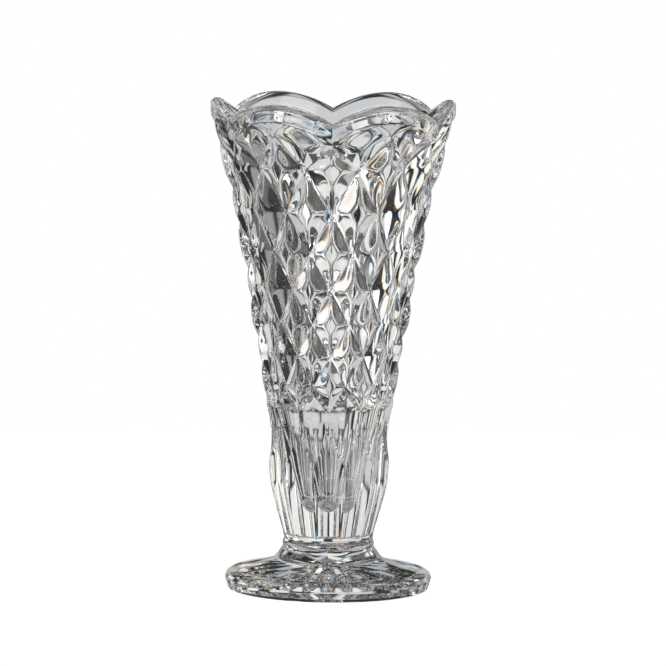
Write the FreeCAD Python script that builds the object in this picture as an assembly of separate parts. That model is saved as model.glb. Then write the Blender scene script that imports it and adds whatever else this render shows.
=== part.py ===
"""Footed cut crystal vase: a flared bowl with raised diamonds, hollow panels and flutes, a collar and a round
foot with a star cut underneath. The three pieces of glass are made one by one and joined hot, face to face.

Frame: millimetres, +Z up, the foot rests on Z = 0 and the vase turns about Z. A rim crest points along +X.
"""

import FreeCAD
import Part

import math
import os

V = FreeCAD.Vector
AXIS = V(0, 0, 1)
CENTRE = V(0, 0, 0)

# Overall form
HEIGHT = 200.0
CREST_RADIUS = 50.3
LOBES = 6
CUTS = 12
STEP = 360.0 / CUTS

# Flared part of the glass before it is cut, as (radius, height) from the waist to the rim
FLARE = [
    (24.3, 64.0), (27.4, 84.5), (32.2, 111.0), (37.2, 140.0),
    (44.8, 174.5), (48.3, 188.0), (CREST_RADIUS, HEIGHT),
]
FLARE_BOTTOM_Z = 70.0
FLARE_TOP_Z = HEIGHT + 1
FLARE_SPANS = 12

# Lower bowl before it is cut
BELLY_Z = 52.0
BELLY_RADIUS = 25.2
BELLY_MIDDLE = (22.5, 36.5)
BOWL_BOTTOM_Z = 20.5
BOWL_BOTTOM_RADIUS = 18.0
BELLY_TOP_Z = FLARE_BOTTOM_Z + 3
BELLY_TOP_RADIUS = 26.2

# Rim scallops: each lobe is a circular arch, and a plain band of the same arch runs below it
SCALLOP_DROP = 7.0
CUSP_RADIUS = 48.3
HALF_LOBE = CUSP_RADIUS * math.sin(math.pi / LOBES)
SCALLOP_ARC = (HALF_LOBE**2 + SCALLOP_DROP**2) / (2 * SCALLOP_DROP)
BAND_WIDTH = 6.3
BAND_FADE_RISE = 3.5
BAND_FADE_OUT = 1.8
LIP_BEVEL = 1.7

# Diamond lattice: levels shrink downwards, and nodes of odd levels sit half a step round
TOP_LEVEL_Z = 174.3
LEVEL_GAP = 17.68
LEVEL_RATIO = 0.928
LAST_LEVEL = 8
CREST_NODE_Z = 188.4
CUSP_NODE_Z = 184.6
BAND_PEAK_RISE = 1.0
DEPTH_SHARE = 0.1
TOP_NODE_DEPTH = 0.035
FIRST_NODE_DEPTH = 0.085
LAST_NODE_DEPTH = 0.004
EYE_SHARE = 0.012

# Hollow panels between the diamonds and the flutes
PANEL_Z = 64.0
PANEL_RADIUS = 23.4
PANEL_WHEEL = 36.0
PANEL_WHEEL_WIDTH = 30.0
PANEL_TIP_Z = 77.6
PANEL_TIP_RADIUS = 26.0

# Flutes: a round cutter follows an arc and then a straight line
FLUTE_CUTTER = 22.0
FLUTE_LINE_START = (23.25, 48.0)
FLUTE_LINE_TOP_Z = 68.0
FLUTE_LINE_SLOPE = 0.07
FLUTE_ARC = 95.0
FLUTE_SWING = 15.6

# Inside
MOUTH_RADIUS = 43.0
ABOVE_MOUTH_RADIUS = MOUTH_RADIUS + 3.5
CAVITY_SIDE = [
    (9.6, 40.0), (14.0, 50.5), (18.6, 74.0), (22.6, 98.0),
    (27.2, 124.0), (31.6, 148.0), (37.0, 174.0),
]
WELL_MIDDLE = (6.6, 35.6)
WELL_FLOOR_Z = 33.5

# Collar and foot
COLLAR_BOTTOM_Z = 17.3
COLLAR_BULGE = 0.45
FOOT_NECK_RADIUS = 18.4
FOOT_EDGE_RADIUS = 40.9
FOOT_RADIUS = 42.2
FOOT_EDGE_Z = 4.7
FOOT_SHOULDER = (37.6, 7.9)
COVE_START = (31.5, 9.2)
COVE_MIDDLE = (22.3, 11.9)
REST_INNER_RADIUS = 36.0
RECESS_RADIUS = 34.6
RECESS_Z = 1.3
RECESS_CENTRE_Z = 2.2
UNDER_FOOT_Z = -2.0

# Star cut under the foot
STAR_RAYS = 24
STAR_INNER = 3.0
STAR_OUTER = 31.0
STAR_HALF_ANGLE = math.radians(52)
STAR_DEPTH = 1.9

# How far the tools that cut right through run past the glass
EXTRA = 8.0
TOOL_REACH = CREST_RADIUS * 1.3


def polar(radius, degrees, z):
    """A point from its cylindrical coordinates."""
    a = math.radians(degrees)
    return V(radius * math.cos(a), radius * math.sin(a), z)


def turned(shape, degrees):
    """A copy of the shape, turned about the vase's axis."""
    copy = shape.copy()
    copy.rotate(CENTRE, AXIS, degrees)
    return copy


def flare_radius(z):
    """Radius of the uncut glass above the waist: a smooth curve through FLARE, straight on above the rim."""
    last = len(FLARE) - 1
    slopes = []
    for i in range(last + 1):
        (r0, z0), (r1, z1) = FLARE[max(i - 1, 0)], FLARE[min(i + 1, last)]
        slopes.append((r1 - r0) / (z1 - z0))
    if z >= FLARE[last][1]:
        return FLARE[last][0] + slopes[last] * (z - FLARE[last][1])
    i = max(j for j in range(last) if FLARE[j][1] <= z)
    (r0, z0), (r1, z1) = FLARE[i], FLARE[i + 1]
    span = z1 - z0
    t = (z - z0) / span
    return (
        r0 * (1 + 2 * t) * (1 - t) ** 2 + r1 * (3 - 2 * t) * t**2
        + span * (slopes[i] * t * (1 - t) ** 2 + slopes[i + 1] * (t - 1) * t**2)
    )


def off_crest(degrees):
    """Angle from the nearest crest."""
    lobe = 360.0 / LOBES
    return (degrees + lobe / 2) % lobe - lobe / 2


def band_z(degrees):
    """Height of the lower edge of the plain band, on the outside of the glass."""
    across = CUSP_RADIUS * math.sin(math.radians(off_crest(degrees)))
    return HEIGHT - SCALLOP_ARC + math.sqrt(SCALLOP_ARC**2 - across**2) - BAND_WIDTH


def level_z(level):
    """Height of a lattice level from 1, the highest full one, downwards."""
    return TOP_LEVEL_Z - LEVEL_GAP * (1 - LEVEL_RATIO ** (level - 1)) / (1 - LEVEL_RATIO)


def node(level, place):
    """Where two grooves cross."""
    degrees = STEP * (place + 0.5 * (level % 2))
    if level == 0:
        at_crest = abs(off_crest(degrees)) < 1
        z = CREST_NODE_Z if at_crest else CUSP_NODE_Z
        depth = TOP_NODE_DEPTH
    else:
        z = level_z(level)
        depth = {1: FIRST_NODE_DEPTH, LAST_LEVEL: LAST_NODE_DEPTH}.get(level, DEPTH_SHARE)
    return polar(flare_radius(z) * (1 - depth), degrees, z)


def apex(level, place):
    """Top of the diamond between nodes place and place + 1 of a level, just outside the blank."""
    degrees = STEP * (place + 0.5 + 0.5 * (level % 2))
    z = level_z(level)
    return polar(flare_radius(z) * (1 + EYE_SHARE), degrees, z)


def triangle(a, b, c):
    return Part.Face(Part.makePolygon([a, b, c, a]))


def beyond(start, end, z):
    """The point at height z on the line from start through end."""
    return start + (end - start) * ((z - start.z) / (end.z - start.z))


def diamond_faces():
    """Four flat facets for each full diamond."""
    faces = []
    for level in range(1, LAST_LEVEL):
        for place in range(CUTS):
            between = place + level % 2
            top, bottom = node(level - 1, between), node(level + 1, between)
            left, right = node(level, place), node(level, place + 1)
            peak = apex(level, place)
            faces += [triangle(peak, left, top), triangle(peak, top, right)]
            faces += [triangle(peak, right, bottom), triangle(peak, bottom, left)]
    return faces


def half_diamond_faces(floor):
    """The half diamonds above the panels, carried on down past the panels' edge, and the cap below them."""
    faces = []
    for place in range(CUTS):
        top = node(LAST_LEVEL - 1, place)
        left, right = node(LAST_LEVEL, place), node(LAST_LEVEL, place + 1)
        tip = polar(PANEL_TIP_RADIUS, STEP * (place + 0.5), PANEL_TIP_Z)
        low_tip = beyond(top, tip, floor.z)
        low_left = beyond(apex(LAST_LEVEL - 1, place - 1), left, floor.z)
        low_right = beyond(apex(LAST_LEVEL - 1, place), right, floor.z)
        faces += [triangle(top, left, low_tip), triangle(top, low_tip, right)]
        faces += [triangle(left, low_left, low_tip), triangle(right, low_tip, low_right)]
        faces += [triangle(low_left, floor, low_tip), triangle(low_tip, floor, low_right)]
    return faces


def band_faces():
    """The half diamonds that fade into the plain band, and the closed top well outside the glass."""
    faces = []
    crown = V(0, 0, HEIGHT + EXTRA)

    def fade(degrees):
        z = band_z(degrees) + BAND_FADE_RISE
        return polar(flare_radius(z) + BAND_FADE_OUT, degrees, z)

    def crown_edge(degrees):
        return polar(TOOL_REACH, degrees, crown.z)

    for place in range(CUTS):
        left, right = node(0, place), node(0, place + 1)
        low = node(1, place)
        middle = STEP * (place + 0.5)
        z = (left.z + right.z) / 2 + BAND_PEAK_RISE
        peak = polar(flare_radius(z) * (1 + EYE_SHARE), middle, z)
        faces += [triangle(peak, right, low), triangle(peak, low, left)]
        ring = [(left, STEP * place), (peak, middle), (right, STEP * (place + 1))]
        for (a, a_angle), (b, b_angle) in zip(ring, ring[1:]):
            fade_a, fade_b = fade(a_angle), fade(b_angle)
            edge_a, edge_b = crown_edge(a_angle), crown_edge(b_angle)
            faces += [triangle(a, fade_b, fade_a), triangle(a, b, fade_b)]
            faces += [triangle(fade_a, edge_b, edge_a), triangle(fade_a, fade_b, edge_b)]
            faces.append(triangle(edge_a, edge_b, crown))
    return faces


def turned_solid(edges):
    """Solid of revolution about the axis, from profile edges in the XZ plane."""
    face = Part.Face(Part.Wire(edges))
    return face.revolve(CENTRE, AXIS, 360)


def line(a, b):
    return Part.makeLine(V(a[0], 0, a[1]), V(b[0], 0, b[1]))


def arc(a, b, c):
    return Part.Arc(V(a[0], 0, a[1]), V(b[0], 0, b[1]), V(c[0], 0, c[1])).toShape()


def spline(points):
    curve = Part.BSplineCurve()
    curve.interpolate([V(r, 0, z) for r, z in points])
    return curve.toShape()


def flared_blank():
    """Round glass from just below the diamonds to above the crests."""
    rise = (FLARE_TOP_Z - FLARE_BOTTOM_Z) / FLARE_SPANS
    heights = [FLARE_BOTTOM_Z + rise * i for i in range(FLARE_SPANS + 1)]
    side = [(flare_radius(z), z) for z in heights]
    low, high = (0, FLARE_BOTTOM_Z), (0, FLARE_TOP_Z)
    return turned_solid([line(low, side[0]), spline(side), line(side[-1], high), line(high, low)])


def belly_blank():
    """Round glass of the lower bowl."""
    foot_end, belly = (BOWL_BOTTOM_RADIUS, BOWL_BOTTOM_Z), (BELLY_RADIUS, BELLY_Z)
    top = (BELLY_TOP_RADIUS, BELLY_TOP_Z)
    return turned_solid([
        line((0, BOWL_BOTTOM_Z), foot_end), arc(foot_end, BELLY_MIDDLE, belly), line(belly, top),
        line(top, (0, BELLY_TOP_Z)), line((0, BELLY_TOP_Z), (0, BOWL_BOTTOM_Z)),
    ])


def flute_cutter():
    """Round bar that hollows one flute, along an arc over the belly and then straight up and out."""
    lean = math.atan(FLUTE_LINE_SLOPE)
    out, up = V(math.cos(lean), 0, -math.sin(lean)), V(math.sin(lean), 0, math.cos(lean))
    start = V(FLUTE_LINE_START[0], 0, FLUTE_LINE_START[1])
    disc = Part.Face(Part.Wire(Part.makeCircle(FLUTE_CUTTER, start + out * FLUTE_CUTTER, up)))
    lower = disc.revolve(start - out * FLUTE_ARC, V(0, 1, 0), FLUTE_SWING)
    upper = disc.extrude(up * (FLUTE_LINE_TOP_Z - FLUTE_LINE_START[1]))
    return lower.fuse(upper)


def panel_cutter():
    """Wheel that hollows one panel."""
    side = V(PANEL_RADIUS + PANEL_WHEEL, -PANEL_WHEEL_WIDTH / 2, PANEL_Z)
    return Part.makeCylinder(PANEL_WHEEL, PANEL_WHEEL_WIDTH, side, V(0, 1, 0))


def scallop_cutter():
    """Everything above one lobe of the rim, within the lobe's sixth of the circle."""
    arch = Part.makeCylinder(SCALLOP_ARC, TOOL_REACH, V(0, 0, HEIGHT - SCALLOP_ARC), V(1, 0, 0))
    side = TOOL_REACH * math.tan(math.pi / LOBES)
    low, high = HEIGHT - 2 * SCALLOP_DROP, HEIGHT + EXTRA
    axis, right, left = V(0, 0, low), V(TOOL_REACH, -side, low), V(TOOL_REACH, side, low)
    return triangle(axis, right, left).extrude(V(0, 0, high - low)).cut(arch)


def cavity():
    """Smooth inside of the vase, open at the top."""
    mouth, above = (MOUTH_RADIUS, HEIGHT - SCALLOP_DROP), (ABOVE_MOUTH_RADIUS, HEIGHT + EXTRA)
    side = CAVITY_SIDE + [mouth, above]
    low, high = (0, WELL_FLOOR_Z), (0, HEIGHT + EXTRA)
    return turned_solid([arc(low, WELL_MIDDLE, side[0]), spline(side), line(above, high), line(high, low)])


def cut_round(body, cutter, count, first=0.0):
    """Cut the same tool all the way round, first degrees from +X."""
    for i in range(count):
        body = body.cut(turned(cutter, first + i * 360.0 / count))
    return body


def rim_edges(body):
    """Long edges of the scalloped rim, inside and outside, without the short ones across the cusps."""
    found = []
    for face in body.Faces:
        if isinstance(face.Surface, Part.Cylinder) and abs(face.Surface.Radius - SCALLOP_ARC) < 1e-6:
            for edge in face.Edges:
                if edge.Length > 2 * SCALLOP_DROP and not any(edge.isSame(other) for other in found):
                    found.append(edge)
    return found


def bowl():
    """The cut bowl: diamonds above, flutes below, panels between them, and a scalloped bevelled rim."""
    shell = Part.Shell(diamond_faces() + half_diamond_faces(V(0, 0, FLARE_BOTTOM_Z)) + band_faces())
    shell.sewShape()
    lattice = Part.Solid(shell)
    if lattice.Volume < 0:
        lattice.reverse()
    upper = flared_blank().common(lattice)
    lower = cut_round(belly_blank(), flute_cutter(), CUTS)
    body = upper.fuse(lower)
    body = cut_round(body, panel_cutter(), CUTS, STEP / 2)
    body = cut_round(body, scallop_cutter(), LOBES).cut(cavity())
    return body.makeChamfer(LIP_BEVEL, rim_edges(body))


def collar():
    """Short solid neck between bowl and foot, a little proud of both."""
    low, high = (FOOT_NECK_RADIUS, COLLAR_BOTTOM_Z), (BOWL_BOTTOM_RADIUS, BOWL_BOTTOM_Z)
    bulge = ((low[0] + high[0]) / 2 + COLLAR_BULGE, (low[1] + high[1]) / 2)
    return turned_solid([
        line((0, COLLAR_BOTTOM_Z), low), arc(low, bulge, high), line(high, (0, BOWL_BOTTOM_Z)),
        line((0, BOWL_BOTTOM_Z), (0, COLLAR_BOTTOM_Z)),
    ])


def star_cutter():
    """One V-shaped ray, deepest half way along."""
    mid = (STAR_INNER + STAR_OUTER) / 2
    half = STAR_DEPTH * math.tan(STAR_HALF_ANGLE)
    inner, outer = V(STAR_INNER, 0, RECESS_CENTRE_Z), V(STAR_OUTER, 0, RECESS_Z)
    floor_z = (RECESS_CENTRE_Z + RECESS_Z) / 2
    left, right = V(mid, -half, floor_z), V(mid, half, floor_z)
    top = V(mid, 0, floor_z + STAR_DEPTH)
    low_inner, low_outer = V(STAR_INNER, 0, UNDER_FOOT_Z), V(STAR_OUTER, 0, UNDER_FOOT_Z)
    low_left, low_right = V(mid, -half, UNDER_FOOT_Z), V(mid, half, UNDER_FOOT_Z)
    faces = [triangle(inner, left, top), triangle(inner, top, right), triangle(outer, top, left)]
    faces += [triangle(outer, right, top)]
    for a, b, low_a, low_b in (
        (inner, right, low_inner, low_right), (right, outer, low_right, low_outer),
        (outer, left, low_outer, low_left), (left, inner, low_left, low_inner),
    ):
        faces.append(Part.Face(Part.makePolygon([a, b, low_b, low_a, a])))
    faces.append(Part.Face(Part.makePolygon([low_inner, low_right, low_outer, low_left, low_inner])))
    solid = Part.Solid(Part.Shell(faces))
    if solid.Volume < 0:
        solid.reverse()
    return solid


def foot():
    """Round foot: a swept neck, a soft shoulder and a leaning edge, hollowed and star cut beneath."""
    neck = (FOOT_NECK_RADIUS, COLLAR_BOTTOM_Z)
    body = turned_solid([
        line((0, 0), (FOOT_EDGE_RADIUS, 0)),
        line((FOOT_EDGE_RADIUS, 0), (FOOT_RADIUS, FOOT_EDGE_Z)),
        arc((FOOT_RADIUS, FOOT_EDGE_Z), FOOT_SHOULDER, COVE_START),
        arc(COVE_START, COVE_MIDDLE, neck),
        line(neck, (0, COLLAR_BOTTOM_Z)),
        line((0, COLLAR_BOTTOM_Z), (0, 0)),
    ])
    rest, hollow = (REST_INNER_RADIUS, 0), (RECESS_RADIUS, RECESS_Z)
    under, top = (REST_INNER_RADIUS, UNDER_FOOT_Z), (0, RECESS_CENTRE_Z)
    middle = (0, UNDER_FOOT_Z)
    recess = turned_solid([
        line(middle, under), line(under, rest), line(rest, hollow), line(hollow, top), line(top, middle),
    ])
    return cut_round(body.cut(recess), star_cutter(), STAR_RAYS)


os.makedirs("parts", exist_ok=True)
for name, shape in (("bowl", bowl()), ("neck_collar", collar()), ("foot", foot())):
    shape.exportStep("parts/%s.step" % name)
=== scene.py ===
import math

import bpy
import numpy as np
from mathutils import Matrix, Vector


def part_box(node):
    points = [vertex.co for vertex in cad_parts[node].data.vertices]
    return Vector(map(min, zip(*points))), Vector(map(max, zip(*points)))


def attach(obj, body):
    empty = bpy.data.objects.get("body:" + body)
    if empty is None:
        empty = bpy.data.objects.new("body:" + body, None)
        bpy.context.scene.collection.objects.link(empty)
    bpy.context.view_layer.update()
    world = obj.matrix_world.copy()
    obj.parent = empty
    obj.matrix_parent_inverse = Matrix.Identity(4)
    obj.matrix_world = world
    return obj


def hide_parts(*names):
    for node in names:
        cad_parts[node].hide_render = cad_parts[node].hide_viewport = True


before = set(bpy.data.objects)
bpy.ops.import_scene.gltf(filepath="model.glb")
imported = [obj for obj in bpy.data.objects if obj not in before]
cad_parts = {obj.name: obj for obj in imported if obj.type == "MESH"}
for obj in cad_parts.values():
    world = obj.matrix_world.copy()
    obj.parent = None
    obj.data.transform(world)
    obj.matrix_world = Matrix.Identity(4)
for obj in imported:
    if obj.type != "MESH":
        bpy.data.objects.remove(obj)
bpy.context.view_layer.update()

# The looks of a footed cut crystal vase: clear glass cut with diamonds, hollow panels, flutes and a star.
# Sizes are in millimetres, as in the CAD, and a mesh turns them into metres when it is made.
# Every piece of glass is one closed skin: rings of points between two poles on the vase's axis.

MM = 0.001

# From the frame
BOWL_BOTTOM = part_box("bowl")[0][2] / MM
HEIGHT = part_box("bowl")[1][2] / MM
FOOT_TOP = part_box("foot")[1][2] / MM
FOOT_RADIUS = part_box("foot")[1][0] / MM
# The lip's crest lies a little inside the CAD's
CREST_INSET = 0.2
CREST_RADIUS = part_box("bowl")[1][0] / MM - CREST_INSET

# Rings across a joint face, as shares of its radius
JOINT_SHARES = (0.25, 0.5, 0.75)

# Around: 12 cuts make 24 half steps, each with the same number of columns
CUTS = 12
LOBES = 6
FINE = 16
COLUMNS = 2 * CUTS * FINE
HALF_STEP = math.pi / CUTS
ANGLE = 2 * math.pi * np.arange(COLUMNS) / COLUMNS
ACROSS = np.arange(COLUMNS) / FINE

# Outside before cutting, as (radius, height), and the smooth inside
FLARE = [
    (24.3, 64.0), (27.4, 84.5), (32.2, 111.0), (37.2, 140.0),
    (44.8, 174.5), (48.3, 188.0), (CREST_RADIUS, HEIGHT),
]
CAVITY = [
    (9.6, 40.0), (14.0, 50.5), (18.6, 74.0), (22.6, 98.0), (27.2, 124.0), (31.6, 148.0), (37.0, 174.0),
    (43.0, 193.0), (46.5, 208.0),
]
WELL_FLOOR = 33.5
INSIDE_ROWS = 34
WELL_ROWS = 9

# Scalloped rim, rounded lip and the plain band below it
SCALLOP_DROP = 7.0
CUSP_RADIUS = 48.3
HALF_LOBE = CUSP_RADIUS * math.sin(math.pi / LOBES)
SCALLOP_ARC = (HALF_LOBE**2 + SCALLOP_DROP**2) / (2 * SCALLOP_DROP)
LIP_HEIGHT = 2.8
LIP_SQUARENESS = 0.85
LIP_LEAN = 0.54
LIP_ROWS = 16
BAND_AT_CREST = 6.8
BAND_AT_CUSP = 7.9
BEAD = 0.45
BEAD_RISE = 0.35
BEAD_START = 0.8
BAND_ROWS = 7

# Diamonds: heights of the rows of groove crossings, and the lens on each top
TOP_LEVEL = 174.3
LEVEL_GAP = 17.68
LEVEL_RATIO = 0.928
LEVELS = 8
CREST_NODE = 188.4
CUSP_NODE = 184.6
# Within a diamond, sizes are shares of the way from its middle to the grooves
LENS_SIZE = 0.34
LENS_CROWN = 0.1
LENS_EDGE = 0.05
RIDGE_SOFTNESS = 0.1
GROOVE_ROUND = 0.04
FADE_ROWS = 7
# Depth of the grooves at each row of crossings, from the top row down, as a share of the radius
GROOVE_DEPTH = [0.04, 0.092, 0.104, 0.106, 0.106, 0.106, 0.104, 0.098, 0.006]

# Hollow panels, flutes, the bevel of the arches between them, and the short round end of the bowl
PANEL_Z = 64.0
PANEL_RADIUS = 23.4
PANEL_WHEEL = 36.0
PANEL_SHOULDER = 74.8
PANEL_TIP = 77.6
PANEL_LAND = math.radians(1.6)
PANEL_ROWS = 16
RIDGE = [(18.5, 22.0), (20.2, 27.8), (22.6, 36.0), (24.5, 44.5), (25.15, 52.0), (26.3, 66.0)]
FLUTE_CUTTER = 13.0
FLUTE_END = 23.0
FLUTE_ROWS = 26
ARCH_BEVEL = 0.35
ARCH_LOWEST = 50.0
ARCH_HIGHEST = 66.0
ARCH_HALVINGS = 40
BOWL_END_RADIUS = 18.1
# Rings of the ledge above the neck, as (added radius, height above the bowl's underside)
LEDGE = [(0, 0), (0.05, 0.8), (0.35, 1.6), (0.45, 2.05)]

# Collar and foot
COLLAR_BULGE = 0.3
COLLAR_ROWS = 8
FOOT_NECK = 18.5
FOOT_SIDE = [(FOOT_NECK, FOOT_TOP), (19.6, 15.6), (22.3, 12.2), (27.0, 10.2), (32.5, 8.9), (37.6, 7.6)]
FOOT_SIDE_ROWS = 26
SHOULDER_ROWS = 6
SHOULDER_START = 18.0
SHOULDER_TURN = 62.0
EDGE_TOP = 4.7
EDGE_FOOT_RADIUS = 40.9
EDGE_ROUND = 0.25
# Upper corner of the edge, as (distance inwards, distance above its top), and rings below it, as shares
EDGE_CORNER = [(0.02, -0.3), (EDGE_ROUND, EDGE_ROUND)]
EDGE_SHARES = (0.35, 0.65)
REST_INNER = 36.0
REST_MIDDLE = (37.5, 39.5)
# Inner corner of the resting ring, as (distance inwards, height)
REST_ROUND = (0.4, 0.2)
RECESS_RADIUS = 34.6
RECESS = 1.3
RECESS_CENTRE = 2.2
STAR_RAYS = 24
STAR_MIDDLE = 17.0
STAR_REACH = 14.5
STAR_DEPTH = 2.0
STAR_WIDTH = math.tan(math.radians(52))
STAR_FIRST_RING = 0.8
STAR_LAST_RING = 33.6
STAR_ROWS = 58

# Faces that meet more sharply than this are shaded with a crease
CREASE = math.radians(17)


def smooth(points, z):
    """Radius at the heights z on a smooth curve through the points (radius, height), lowest first."""
    r = np.array([p[0] for p in points])
    at = np.array([p[1] for p in points])
    last = len(points) - 1
    low, high = np.maximum(np.arange(last + 1) - 1, 0), np.minimum(np.arange(last + 1) + 1, last)
    slope = (r[high] - r[low]) / (at[high] - at[low])
    i = np.clip(np.searchsorted(at, z, side="right") - 1, 0, last - 1)
    span = at[i + 1] - at[i]
    t = (z - at[i]) / span
    return (
        r[i] * (1 + 2 * t) * (1 - t) ** 2 + r[i + 1] * (3 - 2 * t) * t**2
        + span * (slope[i] * t * (1 - t) ** 2 + slope[i + 1] * (t - 1) * t**2)
    )


def ease(low, high, x):
    """0 below low, 1 above high, and smooth between."""
    t = np.clip((x - low) / (high - low), 0, 1)
    return t * t * (3 - 2 * t)


def nearest_odd(across):
    """Half steps to the middle of the nearest panel."""
    return (across % 2) - 1


def nearest_even(across):
    """Half steps to the middle of the nearest flute."""
    return (across + 1) % 2 - 1


def rim_height():
    """Top of the rim: circular arches that meet in low points."""
    lobe = 2 * math.pi / LOBES
    off = (ANGLE + lobe / 2) % lobe - lobe / 2
    return HEIGHT - SCALLOP_ARC + np.sqrt(SCALLOP_ARC**2 - (CUSP_RADIUS * np.sin(off)) ** 2)


def cusp_share():
    """0 at the rim's crests and 1 at its low points."""
    return (1 - np.cos(LOBES * ANGLE)) / 2


def level_height(level):
    """Height of a row of groove crossings, level 1 or lower."""
    return TOP_LEVEL - LEVEL_GAP * (1 - LEVEL_RATIO ** (level - 1)) / (1 - LEVEL_RATIO)


def diamond(across, down):
    """Relief of the raised diamonds, from about 0 in the grooves to about 1 at the rounded tops."""
    u, v = (across + down) / 2, (across - down) / 2
    du, dv = u - np.floor(u) - 0.5, v - np.floor(v) - 0.5
    side, up = np.abs(du + dv), np.abs(du - dv)
    soft = RIDGE_SOFTNESS * (1 - side - up)
    pyramid = np.sqrt(side**2 + soft**2) + np.sqrt(up**2 + soft**2)
    lens = LENS_CROWN * (side**2 + up**2) / LENS_SIZE
    facet = pyramid - LENS_SIZE
    relief = (lens + facet + np.sqrt((lens - facet) ** 2 + LENS_EDGE**2)) / 2
    rise = 1 - (relief - LENS_EDGE / 2) / (1 - LENS_SIZE)
    return np.sqrt(rise**2 + GROOVE_ROUND**2) - GROOVE_ROUND


def panel_radius(z, across):
    """Panels hollowed a little up and down, flat across, with a narrow round land between them."""
    middle = PANEL_RADIUS + PANEL_WHEEL - np.sqrt(PANEL_WHEEL**2 - (z - PANEL_Z) ** 2)
    off = HALF_STEP - np.hypot(HALF_STEP * (1 - np.abs(nearest_odd(across))), PANEL_LAND)
    return middle / np.cos(off)


def flute_radius(z, across):
    """Round hollows with a narrow land, one column wide on each side, between them."""
    ridge = smooth(RIDGE, z)
    centre = ridge * math.cos(HALF_STEP) + np.sqrt(FLUTE_CUTTER**2 - (ridge * math.sin(HALF_STEP)) ** 2)
    off = HALF_STEP * np.clip(nearest_even(across) * FINE / (FINE - 1), -1, 1)
    return centre * np.cos(off) - np.sqrt(FLUTE_CUTTER**2 - (centre * np.sin(off)) ** 2)


def flute_arch():
    """Height where panels and flutes meet, column by column: pointed arches."""
    low, high = np.full(COLUMNS, ARCH_LOWEST), np.full(COLUMNS, ARCH_HIGHEST)
    for _ in range(ARCH_HALVINGS):
        middle = (low + high) / 2
        hollow = flute_radius(middle, ACROSS) < panel_radius(middle, ACROSS)
        low, high = np.where(hollow, middle, low), np.where(hollow, high, middle)
    return low


def panel_top():
    """Upper edge of the panels: a low gable over each."""
    return PANEL_SHOULDER + (PANEL_TIP - PANEL_SHOULDER) * (1 - np.abs(nearest_odd(ACROSS)))


def between(a, b, count):
    """Evenly spaced rows from a up to b, leaving b out."""
    return [a + (b - a) * i / count for i in range(count)]


def ring(radius, z, joint=False):
    """One ring of points. joint marks the rings of a face that is melted to another piece."""
    return radius + np.zeros(COLUMNS), z + np.zeros(COLUMNS), joint


def bowl_rings():
    """Rings of the bowl, from the middle of its underside, up the outside, over the lip and down inside."""
    rings = [ring(BOWL_END_RADIUS * share, BOWL_BOTTOM, True) for share in JOINT_SHARES]
    for i, (out, rise) in enumerate(LEDGE):
        rings.append(ring(BOWL_END_RADIUS + out, BOWL_BOTTOM + rise, i == 0))
    arch, top = flute_arch(), panel_top()
    rings += [ring(flute_radius(z, ACROSS), z) for z in between(FLUTE_END, arch - ARCH_BEVEL, FLUTE_ROWS)]
    rings += [ring(panel_radius(z, ACROSS), z) for z in between(arch + ARCH_BEVEL, top, PANEL_ROWS)]
    rings += diamond_rings(top)
    rings += band_rings()
    rings += inside_rings()
    return rings


def cut_radius(z, down):
    """Radius of the diamonds at a height, down levels below the top row of groove crossings."""
    return smooth(FLARE, z) * (1 - groove(down) * (1 - diamond(ACROSS, down)))


def diamond_rings(top):
    """From the panels' upper edge to the lower edge of the plain band."""
    nodes = CUSP_NODE + (CREST_NODE - CUSP_NODE) * (1 - cusp_share())
    heights = [nodes] + [level_height(level) for level in range(1, LEVELS)] + [top]
    rings = []
    rows = [level + i / FINE for level in range(LEVELS) for i in range(FINE)] + [LEVELS]
    edge_gap = panel_radius(top, ACROSS) - cut_radius(top, LEVELS)
    for down in reversed(rows):
        level = min(int(down), LEVELS - 1)
        part = down - level
        z = heights[level] + (heights[level + 1] - heights[level]) * part
        rings.append(ring(cut_radius(z, down) + edge_gap * ease(LEVELS - 1, LEVELS, down), z))
    edge = band_edge()
    for i in range(1, FADE_ROWS + 1):
        z = nodes + (edge - nodes) * i / FADE_ROWS
        down = -(z - nodes) / LEVEL_GAP
        depth = groove(0) * (1 - i / FADE_ROWS)
        rings.append(ring(smooth(FLARE, z) * (1 - depth * (1 - diamond(ACROSS, down))), z))
    return rings


def groove(down):
    """Depth of the grooves as a share of the radius."""
    return np.interp(down, range(len(GROOVE_DEPTH)), GROOVE_DEPTH)


def band_edge():
    """Lower edge of the plain band."""
    return rim_height() - BAND_AT_CREST - (BAND_AT_CUSP - BAND_AT_CREST) * cusp_share()


def band_rings():
    """Plain band, a little proud of the diamonds, and the rounded lip."""
    low, rim = band_edge() + BEAD_RISE, rim_height()
    high = rim - LIP_HEIGHT
    rings = [ring(smooth(FLARE, low) + BEAD * BEAD_START, low)]
    for i in range(1, BAND_ROWS + 1):
        z = low + (high - low) * i / BAND_ROWS
        rings.append(ring(smooth(FLARE, z) + BEAD * (1 - (i / BAND_ROWS) ** 2), z))
    outer, inner = smooth(FLARE, high), smooth(CAVITY, high)
    middle, half = (outer + inner) / 2, (outer - inner) / 2
    for i in range(1, LIP_ROWS):
        turn = math.pi * i / LIP_ROWS
        rise = math.sin(turn) ** LIP_SQUARENESS
        reach = math.copysign(abs(math.cos(turn)) ** LIP_SQUARENESS, math.cos(turn))
        rings.append(ring(middle + LIP_LEAN * rise + half * reach, high + LIP_HEIGHT * rise))
    return rings


def inside_rings():
    """Down the smooth inside to the round bottom."""
    start = rim_height() - LIP_HEIGHT
    foot_radius, foot_height = CAVITY[0]
    rings = [ring(smooth(CAVITY, z), z) for z in between(start, foot_height, INSIDE_ROWS)]
    for turn in between(0, math.pi / 2, WELL_ROWS):
        z = foot_height - (foot_height - WELL_FLOOR) * math.sin(turn)
        rings.append(ring(foot_radius * math.cos(turn), z))
    return rings


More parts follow.
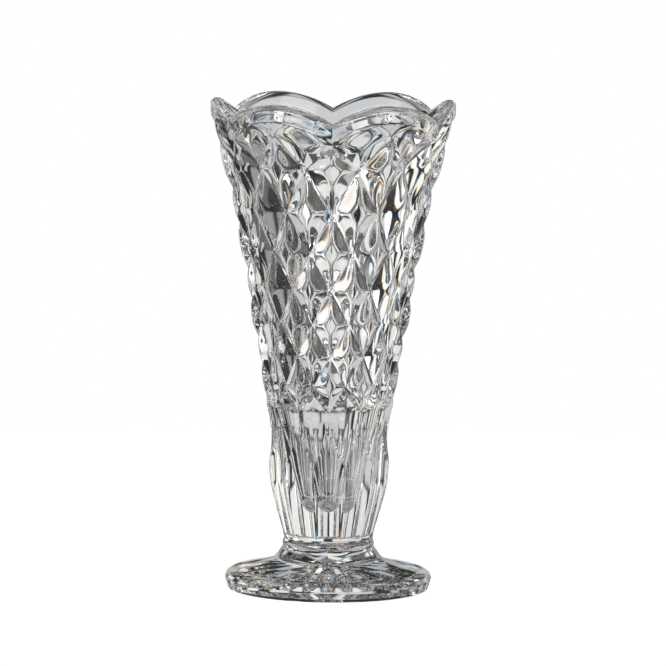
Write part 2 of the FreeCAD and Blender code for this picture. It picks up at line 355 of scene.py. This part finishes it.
def collar_rings():
    """Short neck of glass between the bowl and the foot."""
    rings = [ring(FOOT_NECK * share, FOOT_TOP, True) for share in JOINT_SHARES + (1,)]
    for i in range(1, COLLAR_ROWS):
        part = i / COLLAR_ROWS
        radius = FOOT_NECK + (BOWL_END_RADIUS - FOOT_NECK) * part + COLLAR_BULGE * math.sin(math.pi * part)
        rings.append(ring(radius, FOOT_TOP + (BOWL_BOTTOM - FOOT_TOP) * part))
    rings.append(ring(BOWL_END_RADIUS, BOWL_BOTTOM))
    rings += [ring(BOWL_END_RADIUS * share, BOWL_BOTTOM, True) for share in reversed(JOINT_SHARES)]
    return rings


def underside(radius):
    """Height of the hollowed, star-cut underside of the foot."""
    base = RECESS_CENTRE + (RECESS - RECESS_CENTRE) * radius / RECESS_RADIUS
    depth = STAR_DEPTH * np.sqrt(max(0.0, 1 - ((radius - STAR_MIDDLE) / STAR_REACH) ** 2))
    step = 2 * math.pi / STAR_RAYS
    off = np.abs((ANGLE + step / 2) % step - step / 2) * radius
    return base + np.maximum(0, depth - off / STAR_WIDTH)


def foot_rings():
    """Rings of the foot, from the middle of its star, out to the edge and up to the face below the collar."""
    star = np.linspace(STAR_FIRST_RING, STAR_LAST_RING, STAR_ROWS)
    rings = [ring(radius, underside(radius)) for radius in star]
    inset, lift = REST_ROUND
    rings += [ring(RECESS_RADIUS, RECESS), ring(REST_INNER - inset, lift)]
    rings += [ring(radius, 0) for radius in (REST_INNER, *REST_MIDDLE, EDGE_FOOT_RADIUS - EDGE_ROUND)]
    rings.append(ring(EDGE_FOOT_RADIUS, EDGE_ROUND))
    lean = FOOT_RADIUS - EDGE_FOOT_RADIUS
    rings += [ring(EDGE_FOOT_RADIUS + lean * part, EDGE_TOP * part) for part in EDGE_SHARES]
    rings += [ring(FOOT_RADIUS - inward, EDGE_TOP + up) for inward, up in EDGE_CORNER]
    shoulder_radius, shoulder_height = FOOT_SIDE[-1]
    for i in range(1, SHOULDER_ROWS):
        turn = math.radians(SHOULDER_START + SHOULDER_TURN * i / SHOULDER_ROWS)
        radius = shoulder_radius + (FOOT_RADIUS - EDGE_ROUND - shoulder_radius) * math.cos(turn)
        rings.append(ring(radius, EDGE_TOP + (shoulder_height - EDGE_TOP) * math.sin(turn)))
    rings += side_rings()
    rings.append(ring(FOOT_NECK, FOOT_TOP))
    rings += [ring(FOOT_NECK * share, FOOT_TOP, True) for share in reversed(JOINT_SHARES)]
    return rings


def side_rings():
    """Swept side of the foot, from the shoulder in to the neck, leaving the neck's own ring out."""
    inwards = FOOT_SIDE[::-1]
    # The curve runs over rising values, so the radius is taken as its negative
    heights = [(z, -radius) for radius, z in inwards]
    rows = np.linspace(0, len(inwards) - 1, FOOT_SIDE_ROWS)
    radii = np.interp(rows, range(len(inwards)), [radius for radius, _ in inwards])
    return [ring(radius, smooth(heights, -radius)) for radius in radii[:-1]]


def skin(name, rings, materials, start_z, end_z, slant):
    """A closed mesh: a pole, the rings and another pole, in glass with the second material on joint faces.

    Each quad between two rings is two triangles, and slant says which of its diagonals divides it."""
    points = [np.stack([radius * np.cos(ANGLE), radius * np.sin(ANGLE), z], 1) for radius, z, _ in rings]
    points = np.concatenate(points + [np.array([[0, 0, start_z], [0, 0, end_z]])]) * MM
    here = np.arange(COLUMNS)
    there = (here + 1) % COLUMNS
    last = (len(rings) - 1) * COLUMNS
    start = last + COLUMNS
    end = start + 1
    triangles = [np.stack([np.full(COLUMNS, start), there, here], 1)]
    joints = [np.full(COLUMNS, rings[0][2])]
    for row in range(len(rings) - 1):
        a, b = row * COLUMNS + here, row * COLUMNS + there
        c, d = a + COLUMNS, b + COLUMNS
        rising = slant[row][:, None]
        triangles.append(np.where(rising, np.stack([a, b, d], 1), np.stack([a, b, c], 1)))
        triangles.append(np.where(rising, np.stack([a, d, c], 1), np.stack([b, d, c], 1)))
        joints += [np.full(COLUMNS, rings[row][2] and rings[row + 1][2])] * 2
    triangles.append(np.stack([np.full(COLUMNS, end), last + here, last + there], 1))
    joints.append(np.full(COLUMNS, rings[-1][2]))
    mesh = bpy.data.meshes.new(name)
    mesh.from_pydata(points, [], np.concatenate(triangles))
    for material in materials:
        mesh.materials.append(material)
    mesh.polygons.foreach_set("material_index", np.concatenate(joints).astype(np.int32))
    mesh.polygons.foreach_set("use_smooth", np.ones(len(mesh.polygons), bool))
    mesh.update()
    mesh.set_sharp_from_angle(angle=CREASE)
    piece = bpy.data.objects.new(name, mesh)
    bpy.context.scene.collection.objects.link(piece)
    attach(piece, "root")
    return piece


def plain_slant(rings):
    """Diagonals all one way."""
    return np.zeros((len(rings), COLUMNS), bool)


def bowl_slant(rings):
    """Diagonals along the grooves in the diamonds, and all one way elsewhere."""
    slant = plain_slant(rings)
    first = len(JOINT_SHARES) + len(LEDGE) + FLUTE_ROWS + PANEL_ROWS
    half_steps = np.arange(COLUMNS) // FINE
    for i in range(LEVELS * FINE + FADE_ROWS + 1):
        level = LEVELS - 1 - i // FINE
        slant[first + i] = (half_steps + level) % 2 == 1
    return slant


# Surface of the crystal: a faint ripple left by polishing, a trace of haze, and fine scratches where it rests
CRYSTAL_IOR = 1.53
RIPPLE_SCALE = 90.0
RIPPLE_STRENGTH = 0.06
HAZE_SCALE = 35.0
HAZE_RANGE = (0.5, 0.75)
HAZE_ROUGHNESS = 0.012
WORN_BELOW = 0.4 * MM
WORN_ROUGHNESS = 0.4
SCRATCH_SCALE = 900.0
SCRATCH_RANGE = (0.4, 0.6)
SCRATCH_LEAST = 0.5


def noise(nodes, links, place, scale, detail):
    """Noise fixed to the glass."""
    texture = nodes.new("ShaderNodeTexNoise")
    texture.inputs["Scale"].default_value = scale
    texture.inputs["Detail"].default_value = detail
    links.new(place.outputs["Object"], texture.inputs["Vector"])
    return texture.outputs["Fac"]


def ranged(nodes, links, value, low, high, to_low, to_high):
    """The value, mapped from one range to another and clamped."""
    scaled = nodes.new("ShaderNodeMapRange")
    links.new(value, scaled.inputs["Value"])
    scaled.inputs["From Min"].default_value = low
    scaled.inputs["From Max"].default_value = high
    scaled.inputs["To Min"].default_value = to_low
    scaled.inputs["To Max"].default_value = to_high
    return scaled.outputs["Result"]


def crystal(name):
    """Clear polished crystal, worn dull where it stands on the table."""
    material = bpy.data.materials.new(name)
    material.use_nodes = True
    nodes, links = material.node_tree.nodes, material.node_tree.links
    shader = nodes["Principled BSDF"]
    shader.inputs["Base Color"].default_value = (1, 1, 1, 1)
    shader.inputs["Transmission Weight"].default_value = 1
    shader.inputs["IOR"].default_value = CRYSTAL_IOR
    place = nodes.new("ShaderNodeTexCoord")
    bump = nodes.new("ShaderNodeBump")
    bump.inputs["Strength"].default_value = RIPPLE_STRENGTH
    bump.inputs["Distance"].default_value = MM
    links.new(noise(nodes, links, place, RIPPLE_SCALE, 2), bump.inputs["Height"])
    links.new(bump.outputs["Normal"], shader.inputs["Normal"])
    clouds = noise(nodes, links, place, HAZE_SCALE, 4)
    haze = ranged(nodes, links, clouds, *HAZE_RANGE, 0, HAZE_ROUGHNESS)
    split = nodes.new("ShaderNodeSeparateXYZ")
    links.new(place.outputs["Object"], split.inputs[0])
    low = ranged(nodes, links, split.outputs["Z"], 0, WORN_BELOW, WORN_ROUGHNESS, 0)
    marks = noise(nodes, links, place, SCRATCH_SCALE, 3)
    scratches = ranged(nodes, links, marks, *SCRATCH_RANGE, SCRATCH_LEAST, 1)
    worn = nodes.new("ShaderNodeMath")
    worn.operation = "MULTIPLY_ADD"
    links.new(low, worn.inputs[0])
    links.new(scratches, worn.inputs[1])
    links.new(haze, worn.inputs[2])
    links.new(worn.outputs[0], shader.inputs["Roughness"])
    return material


def joint_face():
    """Faces where two pieces of glass are melted together: nothing to see."""
    material = bpy.data.materials.new("melted_joint")
    material.use_nodes = True
    shader = material.node_tree.nodes["Principled BSDF"]
    shader.inputs["Alpha"].default_value = 0
    shader.inputs["IOR"].default_value = 1
    return material


def build_vase():
    """The three pieces of glass, each in place of its CAD node."""
    melted = joint_face()
    rings = bowl_rings()
    glass = [crystal("crystal_bowl"), melted]
    bowl = skin("bowl_cut_crystal", rings, glass, BOWL_BOTTOM, WELL_FLOOR, bowl_slant(rings))
    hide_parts("bowl")
    rings = collar_rings()
    glass = [crystal("crystal_collar"), melted]
    collar = skin("collar_crystal_ring", rings, glass, FOOT_TOP, BOWL_BOTTOM, plain_slant(rings))
    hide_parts("neck_collar")
    rings = foot_rings()
    glass = [crystal("crystal_foot"), melted]
    star_centre = float(underside(0.0)[0])
    foot = skin("foot_star_cut_crystal", rings, glass, star_centre, FOOT_TOP, plain_slant(rings))
    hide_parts("foot")


# Floor, in metres, a hair below the resting ring
FLOOR_RADIUS = 0.5
FLOOR_SIDES = 96
FLOOR_DROP = 0.0001
FLOOR_GLOW = 0.95
FLOOR_SHADE = 0.5


def build_floor():
    """Plain pale floor that glows to the camera and lets the light for the glass through."""
    mesh = bpy.data.meshes.new("floor")
    turns = [2 * math.pi * i / FLOOR_SIDES for i in range(FLOOR_SIDES)]
    points = [(FLOOR_RADIUS * math.cos(turn), FLOOR_RADIUS * math.sin(turn), 0) for turn in turns]
    mesh.from_pydata(points, [], [list(range(FLOOR_SIDES))])
    floor = bpy.data.objects.new("floor", mesh)
    floor.location.z = -FLOOR_DROP
    bpy.context.scene.collection.objects.link(floor)
    material = bpy.data.materials.new("pale_floor")
    material.use_nodes = True
    nodes, links = material.node_tree.nodes, material.node_tree.links
    shader = nodes["Principled BSDF"]
    shader.inputs["Base Color"].default_value = (FLOOR_SHADE,) * 3 + (1,)
    shader.inputs["Roughness"].default_value = 1
    shader.inputs["Specular IOR Level"].default_value = 0
    shader.inputs["Emission Color"].default_value = (1, 1, 1, 1)
    shader.inputs["Emission Strength"].default_value = FLOOR_GLOW
    clear = nodes.new("ShaderNodeBsdfTransparent")
    ray = nodes.new("ShaderNodeLightPath")
    mix = nodes.new("ShaderNodeMixShader")
    links.new(ray.outputs["Is Camera Ray"], mix.inputs[0])
    links.new(clear.outputs[0], mix.inputs[1])
    links.new(shader.outputs[0], mix.inputs[2])
    links.new(mix.outputs[0], nodes["Material Output"].inputs["Surface"])
    mesh.materials.append(material)


# Studio: soft boxes as (azimuth from, azimuth to, elevation from, elevation to, fade, brightness, tint).
# Angles are in degrees. Azimuth turns from +X towards +Y, so the camera looks towards +90.
STUDIO_BASE = 0.03
WARM = (1.01, 1.0, 0.96)
COOL = (0.985, 0.995, 1.015)
SOFT_BOXES = [
    (-170, -110, -5, 20, 6, 2.4, COOL),
    (-70, -30, -12, 38, 6, 1.8, WARM),
    (-22, 2, -15, 16, 4, 2.2, WARM),
    (84, 110, -18, 0, 4, 0.62, COOL),
    (64, 74, -20, 0, 2, 0.8, WARM),
    (52, 86, 2, 14, 2, 0.85, WARM),
    (94, 128, 2, 14, 2, 0.75, COOL),
    (150, 180, -10, 15, 6, 0.3, COOL),
    (-105, -75, -15, 25, 8, 0.2, COOL),
    (-185, 185, -95, -52, 10, 0.4, WARM),
]
# Narrow strips with dark gaps between them draw the fine streaks in the cuts
SOFT_BOXES += [(middle - 5, middle + 5, -50, 16, 3, 1.0, WARM) for middle in (17, 34, 51)]
SOFT_BOXES += [(middle - 3, middle + 3, -38, -20, 2, 0.5, COOL) for middle in (66, 80, 94, 108)]
SOFT_BOXES += [(middle - 3, middle + 3, -20, 0, 2, 0.5, COOL) for middle in (123, 139)]
# Crystal splits white edges into colours: red is seen a little to one side and blue to the other
COLOUR_SPLIT = 0.3
# Light crosses many facets before it leaves the glass
LIGHT_BOUNCES = 40


def window(nodes, links, angle, low, high, fade):
    """1 between two angles, fading smoothly to 0 outside them."""
    offset = nodes.new("ShaderNodeMath")
    offset.operation = "SUBTRACT"
    links.new(angle, offset.inputs[0])
    offset.inputs[1].default_value = math.radians((low + high) / 2)
    size = nodes.new("ShaderNodeMath")
    size.operation = "ABSOLUTE"
    links.new(offset.outputs[0], size.inputs[0])
    half = math.radians((high - low) / 2)
    shade = nodes.new("ShaderNodeMapRange")
    shade.interpolation_type = "SMOOTHSTEP"
    shade.inputs["From Min"].default_value = half + math.radians(fade / 2)
    shade.inputs["From Max"].default_value = half - math.radians(fade / 2)
    links.new(size.outputs[0], shade.inputs["Value"])
    return shade.outputs["Result"]


def turned_azimuth(nodes, links, direction, middle):
    """Azimuth of a direction in radians, measured from the middle of a soft box."""
    parts = []
    for turn in (math.radians(middle), math.radians(middle + 90)):
        part = nodes.new("ShaderNodeVectorMath")
        part.operation = "DOT_PRODUCT"
        part.inputs[1].default_value = (math.cos(turn), math.sin(turn), 0)
        links.new(direction, part.inputs[0])
        parts.append(part.outputs["Value"])
    angle = nodes.new("ShaderNodeMath")
    angle.operation = "ARCTAN2"
    links.new(parts[1], angle.inputs[0])
    links.new(parts[0], angle.inputs[1])
    return angle.outputs[0]


def build_studio():
    """Soft boxes all round the glass. What the camera sees directly is plain white."""
    scene = bpy.context.scene
    world = bpy.data.worlds.new("studio")
    scene.world = world
    world.use_nodes = True
    nodes, links = world.node_tree.nodes, world.node_tree.links
    nodes.clear()
    direction = nodes.new("ShaderNodeTexCoord").outputs["Generated"]
    split = nodes.new("ShaderNodeSeparateXYZ")
    links.new(direction, split.inputs[0])
    elevation = nodes.new("ShaderNodeMath")
    elevation.operation = "ARCSINE"
    links.new(split.outputs["Z"], elevation.inputs[0])
    total = None
    for left, right, low, high, fade, brightness, tint in SOFT_BOXES:
        azimuth = turned_azimuth(nodes, links, direction, (left + right) / 2)
        half = (right - left) / 2
        colour = nodes.new("ShaderNodeCombineXYZ")
        for channel, shift in enumerate((-COLOUR_SPLIT, 0, COLOUR_SPLIT)):
            across = window(nodes, links, azimuth, shift - half, shift + half, fade)
            links.new(across, colour.inputs[channel])
        up = window(nodes, links, elevation.outputs[0], low, high, fade)
        both = nodes.new("ShaderNodeVectorMath")
        both.operation = "SCALE"
        links.new(colour.outputs[0], both.inputs["Vector"])
        links.new(up, both.inputs["Scale"])
        add = nodes.new("ShaderNodeVectorMath")
        add.operation = "MULTIPLY_ADD"
        links.new(both.outputs["Vector"], add.inputs[0])
        add.inputs[1].default_value = [part * brightness for part in tint]
        if total is None:
            add.inputs[2].default_value = (STUDIO_BASE,) * 3
        else:
            links.new(total, add.inputs[2])
        total = add.outputs["Vector"]
    light = nodes.new("ShaderNodeBackground")
    links.new(total, light.inputs["Color"])
    plain = nodes.new("ShaderNodeBackground")
    plain.inputs["Color"].default_value = (1, 1, 1, 1)
    ray = nodes.new("ShaderNodeLightPath")
    mix = nodes.new("ShaderNodeMixShader")
    links.new(ray.outputs["Is Camera Ray"], mix.inputs[0])
    links.new(light.outputs[0], mix.inputs[1])
    links.new(plain.outputs[0], mix.inputs[2])
    out = nodes.new("ShaderNodeOutputWorld")
    links.new(mix.outputs[0], out.inputs["Surface"])
    scene.view_settings.view_transform = "Standard"
    scene.cycles.max_bounces = LIGHT_BOUNCES
    scene.cycles.transmission_bounces = LIGHT_BOUNCES
    scene.cycles.glossy_bounces = LIGHT_BOUNCES
    scene.cycles.transparent_max_bounces = LIGHT_BOUNCES


# Camera: its place in metres, and its lens and sensor in millimetres
CAMERA_DISTANCE = 2.304
CAMERA_HEIGHT = 0.369
AIM = Vector((0.001, 0, 0.1045))
CAMERA_LENS = 308.0
CAMERA_SENSOR = 36.0
CAMERA_FAR = 100.0
CAMERA_ROLL = math.radians(0.65)


def build_camera():
    """Camera in front of a low point of the rim, a little above the vase's middle."""
    camera = bpy.data.cameras.new("camera")
    camera.lens = CAMERA_LENS
    camera.sensor_width = CAMERA_SENSOR
    camera.clip_end = CAMERA_FAR
    holder = bpy.data.objects.new("camera", camera)
    place = Vector((0, -CAMERA_DISTANCE, CAMERA_HEIGHT))
    turn = (AIM - place).to_track_quat("-Z", "Y").to_matrix().to_4x4()
    holder.matrix_world = Matrix.Translation(place) @ turn @ Matrix.Rotation(CAMERA_ROLL, 4, "Z")
    bpy.context.scene.collection.objects.link(holder)
    bpy.context.scene.camera = holder


build_vase()
build_floor()
build_studio()
build_camera()
